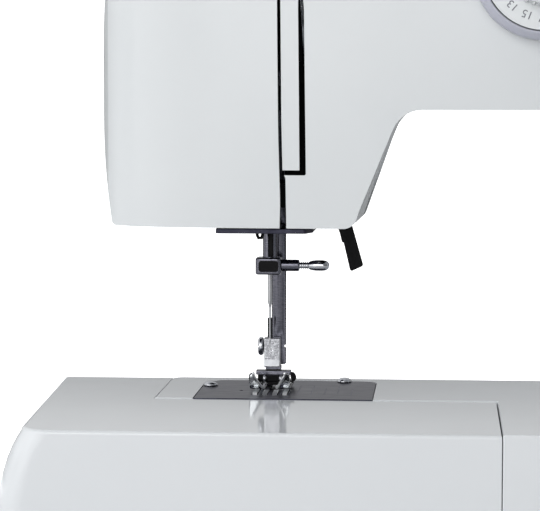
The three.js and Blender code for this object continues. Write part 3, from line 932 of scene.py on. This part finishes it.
presser = turned(
    "presser_bar_rod", [(0, 9.5), (3.0, 9.5), (3.4, 10), (3.4, 143), (2.4, 146), (0, 146)], (2.8, 18), "z", 64
)
cut(
    presser,
    prism("flat", [(12, 5), (16.4, 5), (15.5, 22), (14.5, 34.5), (12, 34.5)], -9, 15, "x"),
    block("notch", 5.2, 8, 10, 26, 17.2, 18.6),
)
fit(presser, "presser_bar", "bar", ["presser_bar"], 0.2, 2)
lug = turned(
    "thread_hook_screw",
    [
        (0, 22.7), (1.3, 22.7), *[(1.3 if k % 2 else 1.05, 22.9 + 0.42 * k) for k in range(20)],
        (1.0, 31.6), (0, 31.6)
    ],
    (-1.0, 13.4),
)
fit(lug, "presser_bar", "black")

holder = prism(
    "holder",
    fillet(
        [
            (8, 12.6, 0.2), (6.9, 9.4, 0.4), (9.0, 9.0, 0.3), (15.2, 9.0, 0.8), (15.2, 22.6, 0.8),
            (8, 22.6, 0.6)
        ],
        5
    ),
    -3.4,
    3.9,
    "x",
)
neck = prism(
    "foot_holder_neck",
    fillet([(9.2, 7.8, 0.4), (13.8, 7.8, 0.4), (13.8, 9.6, 0), (9.2, 9.6, 0)], 4),
    -2.8,
    4.4,
    "x"
)
fit(neck, "presser_bar", "bar", (), 0.2)
cut(holder, drill(1.7, -5, 1.6, (12, 18.5), "x"))
holder.name = "foot_holder_casting"
fit(holder, "presser_bar", "cast", ["foot_holder"], 0.4)
# Painted highlight: the front facets and the rounded edges get a brighter metal than the casting.
touch_up(holder, "painted_highlight_nickel", lambda normal, spot: normal.y < -0.5 and normal.z > 0.15 and spot.z < 13)
holder.modifiers["edges"].material = 1

thumb = turned(
    "thumb_screw_head",
    [
        (0, -6.4), (3.2, -6.4), (3.9, -6.1), (4.3, -5.5), (4.3, -4.6), (3.9, -4.0), (2.4, -3.7),
        (1.4, -3.6), (1.4, 1), (0, 1)
    ],
    (12, 18.5),
    "x",
)
cut(thumb, block("drive", -8, -5.6, 7, 17, 18.0, 19.0))
fit(thumb, "foot_thumb_screw", "chrome", ["foot_thumb_screw"], 0.15, 2)

FOOT_MID = 0.9
toe_line = [(4.0, 2.1), (-4.0, 2.1), (-9.0, 2.15), (-12.0, 2.9), (-14.4, 4.6), (-16.0, 7.0), (-16.8, 9.6)]


def toe_gap(z):
    """Half the gap between the toes: narrow at the sole, wide open at the tips."""
    return 2.5 + 4.3 * min(1, max(0, (z - 2.2) / 6.6)) ** 0.75


def toe(side):
    """One toe of the foot: a clear runner that curls up at the front."""
    line = spline(toe_line, 6, closed=False)
    rings = []
    for i, (y, z) in enumerate(line):
        before, after = line[max(i - 1, 0)], line[min(i + 1, len(line) - 1)]
        ahead = (Vector(after) - Vector(before)).normalized()
        up = Vector((ahead.y, -ahead.x)) * (1 if ahead.x < 0 else -1)
        near, far = toe_gap(z), 9.25 - 0.9 * max(0, (z - 8.2) / 1.4) ** 2
        mid, half = (near + far) / 2, (far - near) / 2
        ring = []
        for a, b in rounded(-half, half, -0.75, 0.75, 0.6, 4):
            ring.append((FOOT_MID + side * (mid + a), y - up.x * b, z - up.y * b))
        rings.append(ring)
    return loft("toe", rings)


def rim(side):
    """A bright tube down the inside edge of a toe: the edge is real, its brightness is a painted highlight.
    """
    line = [p for p in spline(toe_line, 5, closed=False) if p[0] < -5]
    path = [(FOOT_MID + side * (toe_gap(z) + 0.3), y - 0.35, z) for y, z in line]
    return tube("rim", path, 0.62, 12)


foot = gather("presser_foot_toes", [toe(-1), toe(1)])
fit(foot, "presser_foot", "clear", ["presser_foot"], 0.2, 2)
# Painted shade: the heel is a black plate where the clear foot looks dark under the pin block.
heel = prism("presser_foot_heel", rounded(-8.4, 10.1, 4.3, 14, 1.2), 1.35, 2.75)
fit(heel, "presser_foot", "black", (), 0.2)
# Painted highlight: bright tubes along the inside edges of the clear toes.
fit(gather("presser_foot_highlight_rims", [rim(-1), rim(1)]), "presser_foot", "painted_highlight_silver")
bar = prism(
    "presser_foot_crossbar",
    fillet([(7.6, 5.6, 0.2), (13.4, 5.6, 0.4), (13.4, 7.6, 0.8), (7.6, 7.6, 0.7)], 4),
    -7.1,
    8.9,
    "x"
)
fit(bar, "presser_foot", "bar", (), 0.25)
web = prism("presser_foot_web", rounded(9.0, 13.4, 2.8, 5.6, 0.4), -6.4, 8.2, "x")
fit(web, "presser_foot", "black", (), 0.2)
pin_block = prism("presser_foot_pin_block", rounded(-2.4, 4.0, 2.8, 5.5, 0.6), 5.4, 8.8, "y")
fit(pin_block, "presser_foot", "black", (), 0.2)
ends = [
    turned("end", [(0, x - 0.7), (1.3, x - 0.6), (1.5, x), (1.3, x + 0.6), (0, x + 0.7)], (5.6, 4.2), "x", 24)
    for x in (-2.9, 4.5)
]
fit(gather("presser_foot_pin_ends", ends), "presser_foot", "chrome")
clip = prism(
    "presser_foot_clip",
    spline([(8.9, 6.6), (10.4, 6.4), (11.4, 4.6), (11.0, 3.0), (9.6, 2.9), (8.9, 4.4)], 4),
    8,
    11,
    "y"
)
fit(clip, "presser_foot", "black", (), 0.2)

lever = prism(
    "lifter_lever_bar",
    fillet(
        [
            (26.0, 86, 3), (28.6, 90.4, 3), (32.6, 89.6, 3), (36.9, 73.1, 2), (41.9, 55.4, 1.0),
            (35.9, 52.6, 1.0), (32.7, 66.2, 0.4), (31.9, 66.4, 0.4), (31.0, 70.2, 0.6), (29.9, 73.4, 2),
        ][::-1],
        5,
    ),
    20.6,
    23.4,
    "y",
)
fit(lever, "lifter_lever", "black", ["lifter_lever"], 0.45)

# ---------------------------------------------------------------- dials and knobs


def numerals(name, labels, centre, radius, size, y):
    """Figures round a dial on the front, tops outward. labels are (text, angle from +x, counterclockwise)."""
    work = bmesh.new()
    for text, degrees in labels:
        curve = bpy.data.curves.new("figure", "FONT")
        curve.body = text
        curve.align_x = "CENTER"
        curve.align_y = "CENTER"
        curve.size = size * MM
        curve.extrude = 0.03 * MM
        stand_in = bpy.data.objects.new("figure", curve)
        bpy.context.scene.collection.objects.link(stand_in)
        graph = bpy.context.evaluated_depsgraph_get()
        mesh = bpy.data.meshes.new_from_object(stand_in.evaluated_get(graph))
        angle = math.radians(degrees)
        spot = place(centre[0] + radius * math.cos(angle), y, centre[1] + radius * math.sin(angle))
        turn = Matrix.Rotation(-(angle - math.pi / 2), 4, "Y") @ Matrix.Rotation(math.pi / 2, 4, "X")
        mesh.transform(Matrix.Translation(spot) @ turn)
        work.from_mesh(mesh)
        bpy.data.objects.remove(stand_in)
    mesh = bpy.data.meshes.new(name)
    work.to_mesh(mesh)
    work.free()
    made = bpy.data.objects.new(name, mesh)
    bpy.context.scene.collection.objects.link(made)
    return made


dial_face = turned(
    "pattern_dial_face",
    [(0, -51.3), (26.2, -51.3), (26.35, -51.2), (26.35, -46), (4, -46), (4, -28), (0, -28)],
    DIAL,
    "y",
    96
)
fit(dial_face, "pattern_dial", "knob", ["pattern_dial"], 0.12, 2)
dial_rim = turned(
    "pattern_dial_rim",
    [
        (26.75, -45), (26.75, -51.7), (27.2, -52.0), (28.0, -51.9), (30.0, -49.6), (30.5, -48.2),
        (30.5, -41.0), (29.9, -40.5), (26.75, -40.5), (26.75, -45)
    ],
    DIAL,
    "y",
    96,
)
fit(dial_rim, "pattern_dial", "rim")
figures = [(str(n), 229 + 10 * (n - 13)) for n in range(1, 37, 2)]
fit(numerals("pattern_dial_figures", figures, DIAL, 20.9, 4.9, -51.33), "pattern_dial", "ink")
knob = turned(
    "pattern_knob_cap",
    [
        (0, -59.6), (11.2, -59.6), (12.4, -60.6), (14.4, -60.8), (15.3, -60.2), (15.9, -53), (16.1, -51.5),
        (0, -51.5)
    ],
    DIAL,
    "y",
    96,
)
ribs = ring_of("rib", [(0, -60.2), (0.7, -60.2), (0.7, -51.6), (0, -51.6)], DIAL, 15.9, 30, "y")
fit(knob, "pattern_dial", "knob", ["pattern_knob"], 0.2, 2)
fit(gather("pattern_knob_ribs", ribs), "pattern_dial", "knob")
fit(
    block("pattern_knob_mark", DIAL[0] - 0.5, DIAL[0] + 0.5, -60.9, -60.6, DIAL[1] + 4, DIAL[1] + 14),
    "pattern_dial",
    "ink"
)

length_dial = turned(
    "stitch_length_cap",
    [
        (0, -53.4), (10.4, -53.4), (11.2, -54), (17.0, -54), (18.6, -53.2), (19.4, -51), (20, -41),
        (19.6, -40.5), (3, -40.5), (3, -28), (0, -28)
    ],
    LENGTH_DIAL,
    "y",
    96,
)
fit(length_dial, "stitch_length_dial", "knob", ["stitch_length_dial"], 0.2, 2)
length_figures = [(str(n), 90 + 54 * n) for n in range(5)]
fit(
    numerals("stitch_length_figures", length_figures, LENGTH_DIAL, 14.1, 4.6, -54.03),
    "stitch_length_dial",
    "ink"
)
length_ribs = ring_of("rib", [(0, -52.6), (0.7, -52.6), (0.7, -42), (0, -42)], LENGTH_DIAL, 19.6, 36, "y")
fit(gather("stitch_length_ribs", length_ribs), "stitch_length_dial", "knob")
for name, (x, z) in {"dial_pointer": (DIAL[0], 222.0), "length_pointer": (LENGTH_DIAL[0], 212)}.items():
    mark = prism(name, [(x - 1.4, z + 1.2), (x, z - 1.4), (x + 1.4, z + 1.2)], -40.25, -39.2, "y")
    fit(mark, "machine", "ink")

reverse = prism("reverse_paddle", rounded(190, 220, 119, 139, 6, 8), -50, -41, "y")
cut(reverse, turned("dish", [(0, -75), (24, -75), (24, -49.2), (21, -48.6), (0, -47.8)], (205, 129), "y", 64))
join(reverse, block("stem", 202, 208, -42, -30, 127, 137))
fit(reverse, "reverse_lever", "knob", ["reverse_lever"], 0.8)

TENSION = (-18.0, 213.0)
tension = turned(
    "tension_wheel",
    [(0, 30), (12.8, 30), (13.6, 30.8), (13.6, 37.2), (12.8, 38), (0, 38)],
    TENSION,
    "x",
    96
)
knurls = ring_of("knurl", [(0, 30.6), (0.75, 30.6), (0.75, 37.4), (0, 37.4)], TENSION, 13.7, 48, "x")
fit(tension, "tension_dial", "grey", ["tension_dial"], 0.2, 2)
fit(gather("tension_knurls", knurls), "tension_dial", "grey")

wheel = turned(
    "hand_wheel_rim",
    [
        (0, 262.6), (29, 262.6), (33, 263.4), (35.2, 265.2), (36, 268), (36, 278.4), (35.2, 281.8),
        (33.2, 284.2), (30.4, 285), (27.6, 284), (26.2, 281), (25.4, 278.6), (23, 277.6), (13.4, 277.2),
        (12.2, 278.4), (11.6, 283), (10.4, 284.4), (4, 284.6), (3.4, 283.8), (0, 283.8),
    ],
    WHEEL,
    "x",
    96,
)
cut(wheel, *ring_of("grip", [(0, 269), (0.9, 269.8), (0.9, 277.2), (0, 278)], WHEEL, 36, 60, "x"))
fit(wheel, "main_drive", "knob", ["hand_wheel"], 0.25, 2)

# ---------------------------------------------------------------- top and the rest

handle = prism("handle_bow", rounded(45, 140, -12, 31.5, 8, 8), 216, 223.4)
soften(handle, 2.2, 4, 40, baked=True)
cut(handle, prism("inside", rounded(53.5, 131.5, -24, 22, 7, 8), 210, 230))
join(
    handle,
    turned("pivot", [(0, 40.6), (2, 40.6), (2, 47), (0, 47)], (-8, 219.5), "x", 24),
    turned("pivot", [(0, 138), (2, 138), (2, 144.4), (0, 144.4)], (-8, 219.5), "x", 24),
)
fit(handle, "carrying_handle", "knob", ["carrying_handle"], 0.9, 3)

for side, x in (("left", 150), ("right", 180)):
    pin = turned(
        f"spool_pin_{side}_rod",
        [(0, 180), (2.2, 180), (2.4, 180.6), (2.4, 225.6), (2.1, 227.6), (1.3, 228.7), (0, 229)],
        (x, 22),
    )
    fit(pin, f"spool_pin_{side}", "grey", [f"spool_pin_{side}"])
spindle = turned(
    "winder_spindle_post",
    [
        (0, 200), (2.9, 200), (2.9, 225.5), (7.2, 225.5), (7.5, 225.9), (7.5, 226.6), (7.1, 227),
        (3.4, 227.2), (2.9, 227.8), (2.9, 234.8), (2.2, 236.4), (1.2, 237), (0, 237),
    ],
    (205, -10),
)
cut(spindle, block("split", 204.6, 205.4, -20, 0, 229, 240))
fit(spindle, "winder_spindle", "grey", ["winder_spindle"], 0.12, 2)
stop = turned(
    "winder_stop_post", [(0, 225.3), (5, 225.3), (5, 230.6), (4.5, 231.6), (3.6, 232), (0, 232)], (228, -10)
)
fit(stop, "machine", "grey", ["winder_stop"])

# CAD solids that are shown as they are: their finish, and how far their edges are rounded.
EDGES = {
    "base_tray": ("bed", 1.2),
    "shuttle_cover": ("casing", 0.6),
    "foot_left_front": ("rubber", 0.5),
    "foot_left_rear": ("rubber", 0.5),
    "foot_right_front": ("rubber", 0.5),
    "foot_right_rear": ("rubber", 0.5),
    "winder_slide": ("grey", 0.4),
    "power_inlet": ("black", 0.4),
    "power_switch": ("black", 0.6),
    "frame_casting": ("black", 0.8),
    "crank_disc": ("cast", 0.4),
    "upper_shaft": ("turned", 0.3),
    "lower_shaft": ("turned", 0.15),
    "hook_shaft": ("turned", 0.15),
    "upper_timing_pulley": ("grey", 0.2),
    "lower_timing_pulley": ("grey", 0.2),
    "drive_pulley": ("grey", 0.4),
    "timing_belt": ("rubber", 0.2),
    "motor_belt": ("rubber", 0.3),
    "motor": ("paint", 0.5),
    "motor_pulley": ("turned", 0.3),
    "feed_bar": ("steel", 0.4),
    "shuttle_race": ("steel", 0.2),
    "shuttle_hook": ("chrome", 0.2),
    "bobbin_case": ("chrome", 0.15),
    "bobbin": ("clear", 0.15),
    "lamp_socket": ("black", 0.4),
    "lamp_bulb": ("bulb", 0.0),
}
for node, (finish, edge) in EDGES.items():
    obj = NODES[node]
    weld = obj.modifiers.new("weld", "WELD")
    weld.merge_threshold = 0.00001
    if edge:
        soften(obj, edge, 2)
    else:
        shade(obj)
    paint(obj, finish)

# ---------------------------------------------------------------- stage, light and camera

scene = bpy.context.scene
scene.view_settings.view_transform = "Standard"


def sheet(name, corners, light, glow):
    """A staged sheet of paper. light is its shade and glow its own brightness."""
    mesh = bpy.data.meshes.new(name)
    mesh.from_pydata(corners, [], [(0, 1, 2, 3)])
    obj = bpy.data.objects.new(name, mesh)
    scene.collection.objects.link(obj)
    paper = Graph(name + "_paper")
    paper.tint(paper.noise(3, 3, 0.5), (light - 0.03,) * 3, (light,) * 3)
    paper.set(Roughness=0.9, Emission_Color=(1, 1, 1, 1), Emission_Strength=glow)
    obj.data.materials.append(paper.material)
    return obj, paper


_, paper = sheet("floor", [(-5, -5, 0), (5, -5, 0), (5, 0.5, 0), (-5, 0.5, 0)], 0.82, 0)
apart = paper.node("ShaderNodeSeparateXYZ")
paper.link(paper.where, apart.inputs[0])
glow = paper.node("ShaderNodeMapRange")
for socket, value in {"From Min": 0.08, "From Max": 0.3, "To Min": 0.0, "To Max": 0.8}.items():
    glow.inputs[socket].default_value = value
paper.link(apart.outputs["Y"], glow.inputs["Value"])
paper.link(glow.outputs["Result"], paper.shader.inputs["Emission Strength"])
for name, corners in {
    "far_floor": [(-5, 0.5, 0), (5, 0.5, 0), (5, 4, 0), (-5, 4, 0)],
    "backdrop": [(-5, 4, 0), (5, 4, 0), (5, 4, 5), (-5, 4, 5)],
}.items():
    white, _ = sheet(name, corners, 0.9, 1.1)
    white.visible_glossy = False
    white.visible_diffuse = False

world = bpy.data.worlds.new("studio")
scene.world = world
world.use_nodes = True
sky = world.node_tree
direction = sky.nodes.new("ShaderNodeTexCoord").outputs["Generated"]


def shade_by(vector, ramp):
    """A brightness that follows how far a direction leans along a vector."""
    lean = sky.nodes.new("ShaderNodeVectorMath")
    lean.operation = "DOT_PRODUCT"
    lean.inputs[1].default_value = vector
    sky.links.new(direction, lean.inputs[0])
    band = sky.nodes.new("ShaderNodeMapRange")
    for socket, value in zip(("From Min", "From Max", "To Min", "To Max"), ramp):
        band.inputs[socket].default_value = value
    sky.links.new(lean.outputs["Value"], band.inputs["Value"])
    return band.outputs["Result"]


product = sky.nodes.new("ShaderNodeMath")
product.operation = "MULTIPLY"
sky.links.new(shade_by((-0.9, 0.43, 0), (-0.8, 0.8, 0.26, 0.78)), product.inputs[0])
sky.links.new(shade_by((0, 0, 1), (0.1, 0.9, 1.0, 1.3)), product.inputs[1])
horizon = sky.nodes.new("ShaderNodeMath")
horizon.operation = "MULTIPLY"
sky.links.new(product.outputs["Value"], horizon.inputs[0])
sky.links.new(shade_by((0, 0, 1), (0.132, 0.15, 0.4, 1.0)), horizon.inputs[1])
sky.links.new(horizon.outputs["Value"], sky.nodes["Background"].inputs["Strength"])
sky.nodes["Background"].inputs["Color"].default_value = (0.985, 0.992, 1.0, 1)


def softbox(name, spot, aim, width, height, power, colour=(1, 1, 1)):
    data = bpy.data.lights.new(name, "AREA")
    data.shape = "RECTANGLE"
    data.size, data.size_y = width, height
    data.energy = power
    data.color = colour
    lamp = bpy.data.objects.new(name, data)
    scene.collection.objects.link(lamp)
    lamp.location = place(*spot)
    lamp.rotation_euler = (place(*aim) - place(*spot)).to_track_quat("-Z", "Y").to_euler()


softbox("key", (-900, -1250, 560), (20, 0, 60), 1.8, 1.5, 11.8, (1.0, 0.995, 0.985))
softbox("side", (-1400, -250, 350), (20, 0, 60), 1.0, 1.0, 1.3)
softbox("fill", (-100, -1700, 500), (60, 0, 60), 0.8, 0.8, 5)

CAMERA_SPOT = (79.5, -1000.0, 140.0)
LENS = 146.7
# How far the view leans to the left and down, as a share of its reach.
LOOK_LEFT = 0.0795
LOOK_DOWN = 0.0784
camera_data = bpy.data.cameras.new("camera")
camera_data.lens = LENS
camera_data.sensor_width = 36
camera_data.clip_end = 20
camera = bpy.data.objects.new("camera", camera_data)
scene.collection.objects.link(camera)
camera.location = place(*CAMERA_SPOT)
camera.rotation_euler = Vector((-LOOK_LEFT, 1, -LOOK_DOWN)).to_track_quat("-Z", "Y").to_euler()
scene.camera = camera
